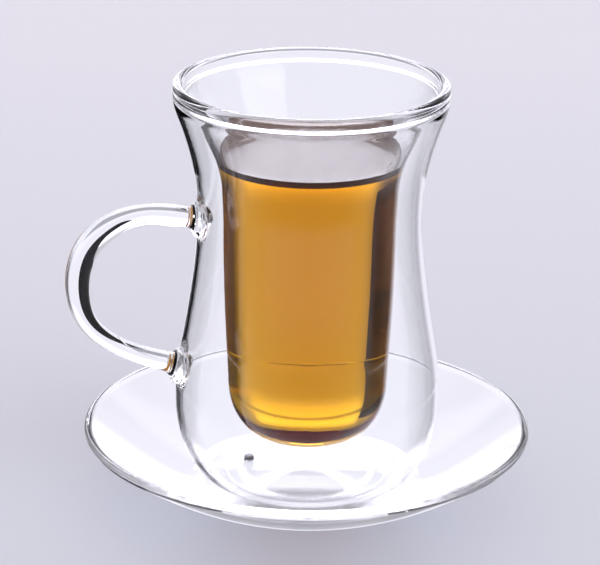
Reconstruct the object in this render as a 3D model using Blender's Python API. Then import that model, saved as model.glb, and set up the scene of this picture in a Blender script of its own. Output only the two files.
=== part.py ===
# A double-walled tea glass with a fused rod handle, filled with tea, on its glass saucer.
# The cup is one piece of glass: an outer bell, an inner bowl, the rim that joins them and the handle.
# Units are metres. Z is up, and the origin is the centre of the saucer's flat underside.

import math

import bmesh
import bpy
import numpy as np

MM = 0.001
GAP = 0.3 * MM

# Turned pieces, and the angle from which an edge shows as a crease
SEGMENTS = 36
CREASE = math.radians(40)

# Saucer
SAUCER_RIM_RADIUS = 57.9 * MM
SAUCER_RIM_TUBE = 1.0 * MM
SAUCER_RIM_HEIGHT = 17.4 * MM
SAUCER_FOOT_RADIUS = 28.6 * MM
SAUCER_WELL_RADIUS = 29.5 * MM
SAUCER_BASE_THICKNESS = 3.0 * MM
SAUCER_DISH_THICKNESS = 2.3 * MM
SAUCER_FOOT_EASING = (1.0 * MM, 0.12 * MM)
# Dish between well and rim, as shares of its width and rise
SAUCER_DISH_CURVE = [(0.245, 0.19), (0.635, 0.565)]

# Cup, measured up from the plane that it stands on
CUP_STANDS_AT = SAUCER_BASE_THICKNESS + GAP
RIM_RADIUS = 35.0 * MM
RIM_TUBE = 1.43 * MM
RIM_HEIGHT = 105.2 * MM
OUTER_WALL = 1.1 * MM
INNER_WALL = 1.2 * MM
BASE_GLASS = 1.3 * MM
PUSH_UP_RADIUS = 18.5 * MM
PUSH_UP_HEIGHT = 1.6 * MM
STANDING_RING_RADIUS = 20.5 * MM
BELLY_RADIUS = 34.25 * MM
BELLY_HEIGHT = 22.0 * MM
BELLY_ROUNDNESS = 2.05
HOLLOW_TOP = 100.2 * MM
HOLLOW_TIP = 1.0 * MM

# Bell above the belly, as radius and height: the waist, then the flare to the rim
BELL = [(34.10, 28.0), (32.60, 38.0), (30.30, 52.0), (28.70, 68.0), (29.30, 82.0),
        (31.80, 92.6), (33.50, 97.6), (34.75, 101.6)]

# Bowl, on its inner face
BOWL_BOTTOM = 12.7 * MM
BOWL_SHOULDER_RADIUS = 19.45 * MM
BOWL_SHOULDER_HEIGHT = 28.4 * MM
BOWL_SIDE_SQUARENESS = 3.85
BOWL_FLOOR_SQUARENESS = 2.27
BOWL_FLARE = [(20.30, 45.0), (20.80, 65.0), (21.10, 78.0), (21.65, 83.8), (22.90, 89.0),
              (25.30, 93.8), (28.40, 97.9), (31.00, 101.2), (32.00, 103.4)]

# Tea
TEA_LEVEL = 86.6 * MM

# Handle rod, from the upper weld round to the lower one: distance from the axis, height, rod radius
HANDLE = [(26.3, 71.9, 3.0), (27.4, 72.1, 4.6), (29.4, 72.4, 4.7), (30.4, 72.6, 3.2), (32.4, 72.9, 2.6),
          (41.6, 74.0, 2.6), (50.9, 71.4, 3.2), (57.4, 65.1, 3.3), (59.6, 56.5, 3.1), (57.0, 45.9, 2.5),
          (50.3, 39.6, 2.3), (42.2, 35.8, 2.45), (37.4, 34.2, 2.6), (35.6, 33.6, 3.2), (34.2, 33.2, 4.7),
          (32.2, 32.5, 4.6), (31.1, 32.2, 3.0)]
HANDLE_SIDES = 12
HANDLE_STEP = 4.5 * MM
HANDLE_DETAIL = 6.0
HANDLE_DOME = 0.25

# Vent in the base, and the plug that closes it
VENT_RADIUS = 1.4 * MM
VENT_FROM_AXIS = 16.2 * MM
VENT_ANGLE = math.radians(148)
PLUG_BOTTOM = 0.35 * MM
PLUG_TOP = 2.4 * MM
PLUG_CHAMFER = 0.3 * MM
VENT_SIDES = 12


def clear_scene():
    for item in list(bpy.data.objects):
        bpy.data.objects.remove(item, do_unlink=True)


def material(name, colour, roughness, metallic=0.0, transmission=0.0, ior=1.45):
    made = bpy.data.materials.new(name)
    made.use_nodes = True
    shader = made.node_tree.nodes["Principled BSDF"]
    shader.inputs["Base Color"].default_value = (*colour, 1.0)
    shader.inputs["Roughness"].default_value = roughness
    shader.inputs["Metallic"].default_value = metallic
    shader.inputs["Transmission Weight"].default_value = transmission
    shader.inputs["IOR"].default_value = ior
    return made


def in_metres(points):
    """Rows of millimetres as an array in metres."""
    return np.array(points, dtype=float) * MM


def smooth(points, count):
    """A natural cubic spline through the rows of points, as count rows evenly spaced in chord length."""
    points = np.asarray(points, dtype=float)
    steps = np.linalg.norm(np.diff(points[:, :2], axis=0), axis=1)
    knots = np.concatenate([[0.0], np.cumsum(steps)])
    size = len(points)
    system = np.eye(size)
    slopes = np.zeros_like(points)
    for i in range(1, size - 1):
        before, after = steps[i - 1], steps[i]
        system[i, i - 1:i + 2] = before, 2 * (before + after), after
        slopes[i] = 6 * ((points[i + 1] - points[i]) / after - (points[i] - points[i - 1]) / before)
    bends = np.linalg.solve(system, slopes)
    rows = []
    for place in np.linspace(0.0, knots[-1], count):
        i = min(int(np.searchsorted(knots, place, side="right")) - 1, size - 2)
        step = steps[i]
        ahead = (place - knots[i]) / step
        behind = 1.0 - ahead
        bend = (behind ** 3 - behind) * bends[i] + (ahead ** 3 - ahead) * bends[i + 1]
        rows.append(behind * points[i] + ahead * points[i + 1] + bend * step ** 2 / 6)
    return np.array(rows)


def offset(points, distance):
    """The outline moved sideways: to its left for a positive distance, when r is drawn across and z up."""
    along = np.gradient(points, axis=0)
    along /= np.linalg.norm(along, axis=1)[:, None]
    return points + distance * np.stack([-along[:, 1], along[:, 0]], axis=1)


def squared_arc(radius, height, side, floor, count):
    """A quarter of a squared ellipse, from its lowest point (0, -height) out to (radius, 0)."""
    turns = np.linspace(0.0, math.pi / 2, count)
    across = radius * np.sin(turns) ** (2 / side)
    down = -height * np.cos(turns) ** (2 / floor)
    return np.stack([across, np.round(down, 9)], axis=1)


def circle_arc(centre, radius, first, last, count):
    turns = np.radians(np.linspace(first, last, count))
    return np.stack([centre[0] + radius * np.cos(turns), centre[1] + radius * np.sin(turns)], axis=1)


def new_object(name, mesh, finish, location=(0.0, 0.0, 0.0)):
    made = bpy.data.objects.new(name, mesh)
    bpy.context.scene.collection.objects.link(made)
    mesh.shade_smooth()
    mesh.set_sharp_from_angle(angle=CREASE)
    if finish:
        mesh.materials.append(finish)
    made.location = location
    return made


def turned(name, outline, finish, location=(0.0, 0.0, 0.0)):
    """Turns an outline that starts and ends on the axis into one closed body."""
    shape = bmesh.new()
    turns = [2 * math.pi * k / SEGMENTS for k in range(SEGMENTS)]
    start = shape.verts.new((0.0, 0.0, outline[0][1]))
    end = shape.verts.new((0.0, 0.0, outline[-1][1]))
    rings = []
    for r, z in outline[1:-1]:
        rings.append([shape.verts.new((r * math.cos(a), r * math.sin(a), z)) for a in turns])
    for k in range(SEGMENTS):
        after = (k + 1) % SEGMENTS
        shape.faces.new((start, rings[0][after], rings[0][k]))
        for lower, upper in zip(rings, rings[1:]):
            shape.faces.new((lower[k], lower[after], upper[after], upper[k]))
        shape.faces.new((end, rings[-1][k], rings[-1][after]))
    bmesh.ops.recalc_face_normals(shape, faces=shape.faces)
    mesh = bpy.data.meshes.new(name)
    shape.to_mesh(mesh)
    shape.free()
    return new_object(name, mesh, finish, location)


def guide(item):
    """Marks an object as a cutter or a joining shape that isn't a piece of its own."""
    item.hide_render = True
    item.display_type = "WIRE"
    return item


def combine(item, other, operation):
    step = item.modifiers.new(f"{operation.lower()}_{other.name}", "BOOLEAN")
    step.operation = operation
    step.solver = "EXACT"
    step.object = other


def bell_outline():
    """Outer face of the cup, from the centre of its base to just under the rim."""
    out = np.linspace(0.0, PUSH_UP_RADIUS, 5)
    dome = PUSH_UP_HEIGHT * np.cos(0.5 * math.pi * out / PUSH_UP_RADIUS) ** 2
    push_up = np.stack([out, dome], axis=1)
    belly = squared_arc(BELLY_RADIUS - STANDING_RING_RADIUS, BELLY_HEIGHT, BELLY_ROUNDNESS, BELLY_ROUNDNESS, 9)
    belly += (STANDING_RING_RADIUS, BELLY_HEIGHT)
    rim_side = (RIM_RADIUS, RIM_HEIGHT)
    bell = smooth(np.vstack([belly[-1], in_metres(BELL), rim_side]), 15)
    return np.vstack([push_up, belly, bell[1:]])


def bowl_outline():
    """Inner face of the bowl, from its lowest point up to just under the rim."""
    floor = squared_arc(BOWL_SHOULDER_RADIUS, BOWL_SHOULDER_HEIGHT - BOWL_BOTTOM,
                        BOWL_SIDE_SQUARENESS, BOWL_FLOOR_SQUARENESS, 9)
    floor += (0.0, BOWL_SHOULDER_HEIGHT)
    rim_side = (RIM_RADIUS - 2 * RIM_TUBE, RIM_HEIGHT)
    side = smooth(np.vstack([floor[-1], in_metres(BOWL_FLARE), rim_side]), 17)
    return np.vstack([floor, side[1:]])


def hollow_outline(bell, bowl):
    """The air between bell and bowl: both walls offset into the glass, meeting in a blunt tip."""
    outer = offset(bell, OUTER_WALL)
    push_up = bell[:, 0] <= PUSH_UP_RADIUS
    outer[push_up] = bell[push_up] + (0.0, BASE_GLASS)
    outer = outer[outer[:, 1] < HOLLOW_TOP]
    inner = offset(bowl, -INNER_WALL)
    inner = inner[inner[:, 1] < HOLLOW_TOP - HOLLOW_TIP]
    inner[0, 0] = 0.0
    tip = (outer[-1][0] - HOLLOW_TIP / 2, HOLLOW_TOP + HOLLOW_TIP)
    return np.vstack([outer, tip, inner[::-1]])


def rod_rows(stations):
    """Rows along the rod, closer together where its radius changes fast."""
    fine = smooth(stations, 400)
    steps = np.linalg.norm(np.diff(fine[:, :2], axis=0), axis=1)
    swing = np.abs(np.diff(fine[:, 2])) / steps
    effort = np.concatenate([[0.0], np.cumsum((1 + HANDLE_DETAIL * swing) * steps)])
    wanted = np.linspace(0.0, effort[-1], int(effort[-1] / HANDLE_STEP))
    return np.stack([np.interp(wanted, effort, fine[:, i]) for i in range(3)], axis=1)


def rod(name, stations, sides):
    """Sweeps a round section of changing radius along a path in the XZ plane, with domed ends."""
    rows = rod_rows(stations)
    along = np.gradient(rows[:, :2], axis=0)
    along /= np.linalg.norm(along, axis=1)[:, None]
    shape = bmesh.new()
    rings = []
    for (distance, height, radius), (run, rise) in zip(rows, along):
        ring = []
        for k in range(sides):
            a = 2 * math.pi * k / sides
            across = radius * math.cos(a)
            ring.append(shape.verts.new((-(distance - rise * across), radius * math.sin(a), height + run * across)))
        rings.append(ring)
    for here, there in zip(rings, rings[1:]):
        for k in range(sides):
            after = (k + 1) % sides
            shape.faces.new((here[k], here[after], there[after], there[k]))
    for ring, row, back in ((rings[0], rows[0], -along[0]), (rings[-1], rows[-1], along[-1])):
        reach = HANDLE_DOME * row[2]
        peak = shape.verts.new((-(row[0] + reach * back[0]), 0.0, row[1] + reach * back[1]))
        for k in range(sides):
            shape.faces.new((ring[k], ring[(k + 1) % sides], peak))
    bmesh.ops.recalc_face_normals(shape, faces=shape.faces)
    mesh = bpy.data.meshes.new(name)
    shape.to_mesh(mesh)
    shape.free()
    return mesh


def make_cup(finish):
    bell = bell_outline()
    bowl = bowl_outline()
    rim = circle_arc((RIM_RADIUS - RIM_TUBE, RIM_HEIGHT), RIM_TUBE, 0.0, 180.0, 7)
    stands = (0.0, 0.0, CUP_STANDS_AT)
    cup = turned("cup", np.vstack([bell, rim[1:-1], bowl[::-1]]), finish, stands)
    hollow = guide(turned("hollow", hollow_outline(bell, bowl), None, stands))
    combine(cup, hollow, "DIFFERENCE")
    vent = guide(vent_pin("vent", VENT_RADIUS, -1.0 * MM, BASE_GLASS + 2.0 * MM, None))
    combine(cup, vent, "DIFFERENCE")
    handle = guide(new_object("handle", rod("handle", in_metres(HANDLE), HANDLE_SIDES), None, stands))
    combine(cup, handle, "UNION")
    return cup


def vent_pin(name, radius, bottom, top, finish):
    """A small upright cylinder on the vent's axis."""
    mesh = bpy.data.meshes.new(name)
    shape = bmesh.new()
    bmesh.ops.create_cone(shape, cap_ends=True, segments=VENT_SIDES, radius1=radius, radius2=radius,
                          depth=top - bottom)
    shape.to_mesh(mesh)
    shape.free()
    place = (VENT_FROM_AXIS * math.cos(VENT_ANGLE), VENT_FROM_AXIS * math.sin(VENT_ANGLE),
             CUP_STANDS_AT + (bottom + top) / 2)
    return new_object(name, mesh, finish, place)


def make_plug(finish):
    plug = vent_pin("vent_plug", VENT_RADIUS - GAP, PLUG_BOTTOM, PLUG_TOP, finish)
    edge = plug.modifiers.new("chamfer", "BEVEL")
    edge.width = PLUG_CHAMFER
    edge.segments = 1
    edge.limit_method = "ANGLE"
    edge.angle_limit = math.radians(60)
    return plug


def make_tea(finish):
    """Tea up to its level, with a thin gap to the bowl all round."""
    bowl = bowl_outline()
    side = offset(bowl, GAP)
    side[0, 0] = 0.0
    under = side[side[:, 1] < TEA_LEVEL - GAP]
    edge = (np.interp(TEA_LEVEL, side[:, 1], side[:, 0]), TEA_LEVEL)
    outline = np.vstack([under, edge, (0.0, TEA_LEVEL)])
    return turned("tea", outline, finish, (0.0, 0.0, CUP_STANDS_AT))


def make_saucer(finish):
    """Flat foot and well, then a dish that steepens towards a rounded rim."""
    rim_centre = (SAUCER_RIM_RADIUS - SAUCER_RIM_TUBE, SAUCER_RIM_HEIGHT)
    rim = circle_arc(rim_centre, SAUCER_RIM_TUBE, -55.0, 125.0, 7)
    corner = np.array((SAUCER_WELL_RADIUS, SAUCER_BASE_THICKNESS))
    span = rim[-1] - corner
    dish = smooth([corner, *[corner + span * share for share in SAUCER_DISH_CURVE], rim[-1]], 8)
    under = offset(dish, -SAUCER_DISH_THICKNESS)[1:-1]
    flat, lift = SAUCER_FOOT_EASING
    foot = [(0.0, 0.0), (SAUCER_FOOT_RADIUS - flat, 0.0), (SAUCER_FOOT_RADIUS, lift)]
    outline = np.vstack([foot, under, rim, dish[-2::-1], (0.0, SAUCER_BASE_THICKNESS)])
    return turned("saucer", outline, finish)


def main():
    clear_scene()
    clear_glass = material("clear_glass", (0.97, 0.98, 0.99), 0.02, transmission=1.0, ior=1.47)
    tea_brew = material("tea", (0.80, 0.42, 0.07), 0.03, transmission=1.0, ior=1.33)
    grey_rubber = material("vent_rubber", (0.35, 0.35, 0.37), 0.5)
    make_cup(clear_glass)
    make_plug(grey_rubber)
    make_tea(tea_brew)
    make_saucer(clear_glass)


main()
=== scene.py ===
# %% [markdown]
# A double-walled tea glass on its glass saucer
# --------------------------------------------
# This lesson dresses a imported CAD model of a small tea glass: a bell of clear glass with a bowl
# blown inside it, a fused rod handle, a clear saucer, and tea up to the bowl's neck. Glass shows
# itself only by what it bends and mirrors, so most of the work is in true wall shapes, in the
# light around them, and in letting rays pass through many surfaces. The first cell loads the CAD
# model as a fixed frame, in metres, and every new piece is built straight into its place there.

# %% Load the frame
import math

import bmesh
import bpy
import numpy as np
from mathutils import Matrix, Vector


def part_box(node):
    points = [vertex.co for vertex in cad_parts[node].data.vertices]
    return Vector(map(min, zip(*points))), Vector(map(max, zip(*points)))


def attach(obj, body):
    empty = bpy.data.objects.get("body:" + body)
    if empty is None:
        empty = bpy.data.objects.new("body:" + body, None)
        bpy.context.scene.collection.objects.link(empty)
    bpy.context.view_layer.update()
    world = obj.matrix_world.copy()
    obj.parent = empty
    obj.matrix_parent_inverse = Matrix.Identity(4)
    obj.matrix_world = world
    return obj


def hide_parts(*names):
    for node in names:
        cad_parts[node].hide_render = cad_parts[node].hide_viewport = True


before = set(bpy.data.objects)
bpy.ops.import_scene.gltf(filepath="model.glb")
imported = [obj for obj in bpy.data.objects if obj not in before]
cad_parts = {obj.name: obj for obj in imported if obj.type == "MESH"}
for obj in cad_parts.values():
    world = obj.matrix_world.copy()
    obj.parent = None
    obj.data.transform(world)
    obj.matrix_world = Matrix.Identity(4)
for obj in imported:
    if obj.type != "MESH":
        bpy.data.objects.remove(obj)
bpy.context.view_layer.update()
MM = 0.001

# %% [markdown]
# Sizes that everything follows from
# ----------------------------------
# A few sizes are read from the frame, so the finished glass sits exactly where the CAD solid is:
# the height the cup stands at, its rim, the saucer's rim and its top. The wall thicknesses and
# the curves of the outlines are named values in millimetres.

# %% Driving sizes
cup_low, cup_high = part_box("cup")
saucer_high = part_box("saucer")[1]
plug_low, plug_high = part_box("vent_plug")
STANDS_AT = cup_low.z
RIM_RADIUS = cup_high.y
RIM_TUBE = 1.43 * MM
RIM_HEIGHT = cup_high.z - STANDS_AT - RIM_TUBE
SAUCER_RADIUS = saucer_high.y
SAUCER_TUBE = 1.0 * MM
SAUCER_RIM_HEIGHT = saucer_high.z - SAUCER_TUBE
print(f"rim radius {RIM_RADIUS / MM:.2f} mm, rim height {RIM_HEIGHT / MM:.2f} mm above the base")
print(f"saucer radius {SAUCER_RADIUS / MM:.2f} mm, its rim at {SAUCER_RIM_HEIGHT / MM:.2f} mm")

# %% [markdown]
# The camera
# ----------
# The camera looks down on the glass at about twenty degrees with a long lens, and the handle
# points to the left and a little towards it. A camera could be placed by eye, but here it is
# worked out from the point that it aims at, its turn, its drop and its distance, so each can be
# tuned alone. A long lens keeps the rim's ellipse and the saucer's ellipse almost alike, which
# gives the view its calm look. A slight roll matches a picture that leans by a degree.

# %% Camera
VIEW_TURN = math.radians(12.0)
VIEW_DROP = math.radians(19.79)
VIEW_DISTANCE = 701.7 * MM
VIEW_ROLL = math.radians(0.8)
FOCAL_LENGTH = 164.1
AIM_SIDE = -2.25 * MM
AIM_HEIGHT = 53.2 * MM + STANDS_AT
ahead = Vector((math.sin(VIEW_TURN), math.cos(VIEW_TURN), 0.0))
aside = Vector((math.cos(VIEW_TURN), -math.sin(VIEW_TURN), 0.0))
upward = Vector((0.0, 0.0, 1.0))


def add_camera():
    lens = bpy.data.cameras.new("view")
    lens.lens = FOCAL_LENGTH
    lens.sensor_width = 36.0
    lens.sensor_fit = "HORIZONTAL"
    lens.clip_start = 0.01
    camera = bpy.data.objects.new("view", lens)
    bpy.context.scene.collection.objects.link(camera)
    aim = aside * AIM_SIDE + upward * AIM_HEIGHT
    sight = ahead * math.cos(VIEW_DROP) - upward * math.sin(VIEW_DROP)
    turn = sight.to_track_quat("-Z", "Y").to_matrix() @ Matrix.Rotation(VIEW_ROLL, 3, "Z")
    camera.matrix_world = Matrix.Translation(aim - sight * VIEW_DISTANCE) @ turn.to_4x4()
    bpy.context.scene.camera = camera
    return camera


camera = add_camera()
print("camera at", [round(x, 4) for x in camera.matrix_world.translation])

# %% [markdown]
# Small helpers for node trees ---------------------------- Materials and Geometry Nodes trees
# are both built from nodes and links. They could be wired up by hand in the editor, but a
# script can be read, changed and run again. One helper feeds a node's inputs, with a number, a
# colour or another node's output, and a second one adds a node first and sets its options. A
# Mix node's sockets share their names, so blend reaches its two colours and its result by
# number.

# %% Node helpers
def feed(tree, made, feeds):
    """Gives each input, by name or number, a value or a socket to link."""
    for key, value in feeds.items():
        if isinstance(value, bpy.types.NodeSocket):
            tree.links.new(value, made.inputs[key])
        else:
            made.inputs[key].default_value = value
    return made


def node(tree, kind, feeds=None, **options):
    """Adds a node, sets its options and feeds its inputs."""
    made = tree.nodes.new(kind)
    for option, value in options.items():
        setattr(made, option, value)
    return feed(tree, made, feeds or {})


def principled(name):
    """A new material, its tree and its Principled shader."""
    made = bpy.data.materials.new(name)
    made.use_nodes = True
    return made, made.node_tree, made.node_tree.nodes["Principled BSDF"]


def sockets(tree, takes, gives):
    """Declares a group's named inputs, with their defaults, and its named outputs."""
    for name, kind, value in takes:
        socket = tree.interface.new_socket(name, in_out="INPUT", socket_type="NodeSocket" + kind)
        if value is not None:
            socket.default_value = value
    for name, kind in gives:
        tree.interface.new_socket(name, in_out="OUTPUT", socket_type="NodeSocket" + kind)
    return tree.nodes.new("NodeGroupInput").outputs


def blend(tree, share, first, second):
    """Mixes two colours: the first one where share is zero, the second where it is one."""
    return node(tree, "ShaderNodeMix", {"Factor": share, 6: first, 7: second}, data_type="RGBA").outputs[2]


def sum_of(tree, operation, first, second=0.0):
    """One step of arithmetic on numbers."""
    return node(tree, "ShaderNodeMath", {0: first, 1: second}, operation=operation).outputs[0]


def whole(tree, operation, first, second):
    """One step of arithmetic on whole numbers."""
    return node(tree, "FunctionNodeIntegerMath", {0: first, 1: second}, operation=operation).outputs[0]


# %% [markdown]
# Shared surface effects
# ----------------------
# Blown glass is never quite even. Its wall drifts by a few hundredths of a millimetre in long
# soft waves, drawn out along the height where the glass was stretched hot. A little of that in
# the surface makes edges and reflections tremble as they do on the real thing. One shader group
# holds the waves and faint fingerprints, and every glass material places it with its own values.

# %% Shader group: blown surface
SMUDGE_EDGE = (0.55, 0.75)


def build_blown_surface():
    """Waves and ripples as a height, and smudges as a mask and a roughness."""
    tree = bpy.data.node_groups.new("blown_surface", "ShaderNodeTree")
    takes = sockets(tree, [
        ("Wave Scale", "Float", 60.0), ("Drawn Out", "Float", 0.25), ("Ripple Scale", "Float", 320.0),
        ("Ripple Share", "Float", 0.15), ("Smudge Scale", "Float", 45.0), ("Smudge Roughness", "Float", 0.03),
        ("Polish", "Float", 0.0)], [("Height", "Float"), ("Roughness", "Float"), ("Mask", "Float")])
    place = node(tree, "ShaderNodeTexCoord").outputs["Object"]
    squeeze = node(tree, "ShaderNodeCombineXYZ", {"X": 1.0, "Y": 1.0, "Z": takes["Drawn Out"]}).outputs[0]
    drawn = node(tree, "ShaderNodeVectorMath", {0: place, 1: squeeze}, operation="MULTIPLY").outputs[0]
    waves = node(tree, "ShaderNodeTexNoise", {"Vector": drawn, "Scale": takes["Wave Scale"], "Detail": 1.0})
    ripples = node(tree, "ShaderNodeTexNoise",
                   {"Vector": place, "Scale": takes["Ripple Scale"], "Detail": 2.0})
    fine = sum_of(tree, "MULTIPLY", ripples.outputs["Fac"], takes["Ripple Share"])
    height = sum_of(tree, "ADD", waves.outputs["Fac"], fine)
    smudge = node(tree, "ShaderNodeTexNoise",
                  {"Vector": place, "Scale": takes["Smudge Scale"], "Detail": 4.0})
    mask = node(tree, "ShaderNodeMapRange", {"Value": smudge.outputs["Fac"], "From Min": SMUDGE_EDGE[0],
                                             "From Max": SMUDGE_EDGE[1]}, clamp=True).outputs["Result"]
    haze = sum_of(tree, "MULTIPLY", mask, takes["Smudge Roughness"])
    rough = sum_of(tree, "ADD", haze, takes["Polish"])
    node(tree, "NodeGroupOutput", {"Height": height, "Roughness": rough, "Mask": mask})
    return tree


blown_surface = build_blown_surface()
print("shader group", blown_surface.name, "with", len(blown_surface.nodes), "nodes")

# %% [markdown]
# Clear glass
# -----------
# The cup and saucer are hard clear glass with an index of 1.47. A Glass shader would do, but the
# Principled one also lets the mirroring be tuned: its specular tint turns what faces straight on
# down to a quarter, so the walls stay clear and mainly their edges gleam. A glass object would
# throw a black shadow here, because straight light can't find its way through bent surfaces. So
# for shadow rays and for the floor's soft light the shader gives way to a nearly clear
# Transparent one: the floor stays bright, as it is in life.

# %% Clear glass material
GLASS_INDEX = 1.47
GLASS_TINT = ((0.995, 0.997, 1.0, 1.0), (0.985, 0.99, 0.995, 1.0))
GLASS_SHADE = (0.93, 0.94, 0.96, 1.0)
GLASS_WAVES = 0.03 * MM
STRAIGHT_ON_MIRROR = (0.25, 0.25, 0.25, 1.0)


def glass_material(name, tint, shade, index, effect, wave_height):
    """A clear material: tint gives a clean and a smudged colour, shade what its shadow lets through."""
    made = bpy.data.materials.new(name)
    made.use_nodes = True
    tree = made.node_tree
    tree.nodes.clear()
    blown = node(tree, "ShaderNodeGroup", effect, node_tree=blown_surface)
    bump = node(tree, "ShaderNodeBump", {"Height": blown.outputs["Height"], "Distance": wave_height,
                                         "Strength": 1.0})
    shader = node(tree, "ShaderNodeBsdfPrincipled", {
        "Base Color": blend(tree, blown.outputs["Mask"], *tint), "Roughness": blown.outputs["Roughness"],
        "Normal": bump.outputs[0], "Metallic": 0.0, "Transmission Weight": 1.0, "IOR": index,
        "Specular Tint": STRAIGHT_ON_MIRROR})
    clear = node(tree, "ShaderNodeBsdfTransparent", {"Color": shade})
    path = node(tree, "ShaderNodeLightPath")
    soft = sum_of(tree, "MAXIMUM", path.outputs["Is Shadow Ray"], path.outputs["Is Diffuse Ray"])
    mixed = node(tree, "ShaderNodeMixShader", {0: soft, 1: shader.outputs[0], 2: clear.outputs[0]})
    output = node(tree, "ShaderNodeOutputMaterial", {"Surface": mixed.outputs[0]})
    return made, tree, output


clear_glass = glass_material("clear_glass", GLASS_TINT, GLASS_SHADE, GLASS_INDEX,
                             {"Wave Scale": 70.0, "Drawn Out": 0.3, "Smudge Roughness": 0.02},
                             GLASS_WAVES)[0]
print("material", clear_glass.name, "with index", GLASS_INDEX)

# %% [markdown]
# Tea
# ---
# Tea is water with a colour that deepens along the way through it. A tinted surface would look
# the same however deep the tea is, so it isn't used: each millimetre has to take a little green
# and a lot of blue out of the light. The Volume Absorption node does this, and three small
# numbers per metre were worked out from how pale the body looks through forty millimetres. The
# still top of the tea gets its own finish: seen at a low angle it mirrors the bright room, and
# what lies under it looks dark. Its underside is painted light: a painted amber glow, with
# painted shade where its lip meets the glass.

# %% Tea materials
TEA_WATER = 1.33
TEA_TOP_INDEX = 1.42
TEA_TAKES = (9.2, 30.0, 133.0)
DENSITY_MARGIN = 2.0
TEA_TINT = ((0.99, 0.985, 0.97, 1.0), (0.97, 0.95, 0.92, 1.0))
TEA_SHADE = (0.86, 0.74, 0.55, 1.0)
TEA_WAVES = 0.01 * MM
TEA_TOP_COLOURS = ((0.055, 0.020, 0.006, 1.0), (0.068, 0.028, 0.010, 1.0))
TEA_TOP_WAVES = 0.02 * MM
# painted light on the tea top's underside: an amber glow inside, and painted shade towards the lip
TEA_UNDERSIDE_PAINTED_GLOW = (0.62, 0.20, 0.020, 1.0)
LIP_PAINTED_SHADE = (0.045, 0.013, 0.005, 1.0)
LIP_SHADE_PAINTED_SPAN = (18.5 * MM, 20.5 * MM)


def tea_material():
    """Clear water whose volume takes colour out of the light that crosses it.

    The node takes a density and the share of each colour that is left, between zero and one, so
    the density is set a little above the largest of the three numbers."""
    made, tree, output = glass_material(
        "black_tea", TEA_TINT, TEA_SHADE, TEA_WATER,
        {"Wave Scale": 40.0, "Drawn Out": 0.5, "Smudge Roughness": 0.0}, TEA_WAVES)
    densest = max(TEA_TAKES) + DENSITY_MARGIN
    left = tuple(1.0 - taken / densest for taken in TEA_TAKES)
    body = node(tree, "ShaderNodeVolumeAbsorption", {"Color": (*left, 1.0), "Density": densest})
    tree.links.new(body.outputs[0], output.inputs["Volume"])
    return made


def tea_top_material():
    """A dark, glossy top. Its underside is painted by distance from the axis: a painted amber glow, and
    painted shade at the lip.
    """
    made, tree, shader = principled("tea_top")
    blown = node(tree, "ShaderNodeGroup", {"Wave Scale": 55.0, "Drawn Out": 1.0, "Smudge Scale": 90.0,
                                           "Smudge Roughness": 0.03, "Polish": 0.07}, node_tree=blown_surface)
    above = blend(tree, blown.outputs["Mask"], *TEA_TOP_COLOURS)
    bump = node(tree, "ShaderNodeBump", {"Height": blown.outputs["Height"], "Distance": TEA_TOP_WAVES,
                                         "Strength": 1.0})
    place = node(tree, "ShaderNodeTexCoord").outputs["Object"]
    flat = node(tree, "ShaderNodeVectorMath", {0: place, 1: (1.0, 1.0, 0.0)}, operation="MULTIPLY").outputs[0]
    away = node(tree, "ShaderNodeVectorMath", {0: flat}, operation="LENGTH").outputs["Value"]
    # painted shade: the underside darkens towards the lip, where the tea meets the glass
    lip = node(tree, "ShaderNodeMapRange", {"Value": away, "From Min": LIP_SHADE_PAINTED_SPAN[0],
                                            "From Max": LIP_SHADE_PAINTED_SPAN[1]}).outputs["Result"]
    # the underside's colour is painted light, a painted amber glow with painted shade at the lip
    below = blend(tree, lip, TEA_UNDERSIDE_PAINTED_GLOW, LIP_PAINTED_SHADE)
    from_below = node(tree, "ShaderNodeNewGeometry").outputs["Backfacing"]
    feed(tree, shader, {"Base Color": blend(tree, from_below, above, below), "IOR": TEA_TOP_INDEX,
                        "Roughness": blown.outputs["Roughness"], "Normal": bump.outputs[0]})
    return made


black_tea = tea_material()
tea_top = tea_top_material()
print("tea takes", TEA_TAKES, "per metre out of red, green and blue")

# %% [markdown]
# Rubber
# ------
# A double wall needs a vent, so the air sealed inside doesn't burst it in the flame. A small
# grey rubber plug closes it. Rubber is matte and slightly mottled. The same group of waves and
# smudges serves again, only much finer, because the plug is smaller than a lentil.

# %% Rubber material
RUBBER_COLOURS = ((0.20, 0.20, 0.215, 1.0), (0.27, 0.27, 0.285, 1.0))
RUBBER_GRAIN = 0.05 * MM


def rubber_material():
    """Matte grey in two shades, with a fine grain."""
    made, tree, shader = principled("vent_rubber")
    blown = node(tree, "ShaderNodeGroup", {"Wave Scale": 900.0, "Drawn Out": 1.0, "Smudge Scale": 1400.0,
                                           "Smudge Roughness": 0.2, "Polish": 0.45}, node_tree=blown_surface)
    colour = blend(tree, blown.outputs["Mask"], *RUBBER_COLOURS)
    bump = node(tree, "ShaderNodeBump", {"Height": blown.outputs["Height"], "Distance": RUBBER_GRAIN})
    feed(tree, shader, {"Base Color": colour, "Roughness": blown.outputs["Roughness"],
                        "Normal": bump.outputs[0]})
    return made


vent_rubber = rubber_material()
print("material", vent_rubber.name)

# %% [markdown]
# Outlines
# --------
# Cup, bowl, tea and saucer are all turned forms: a half outline swung round the axis. An outline
# could be a Bezier curve drawn by hand. Here it is a smooth curve through a few measured points,
# because a point can then be moved without touching its neighbours. The helpers below make such
# curves, quarter ellipses and arcs, and move a curve sideways by the thickness of a wall.

# %% Curve helpers
def in_metres(points):
    """Rows of millimetres as rows of metres."""
    return np.array(points, dtype=float) * MM


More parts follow.
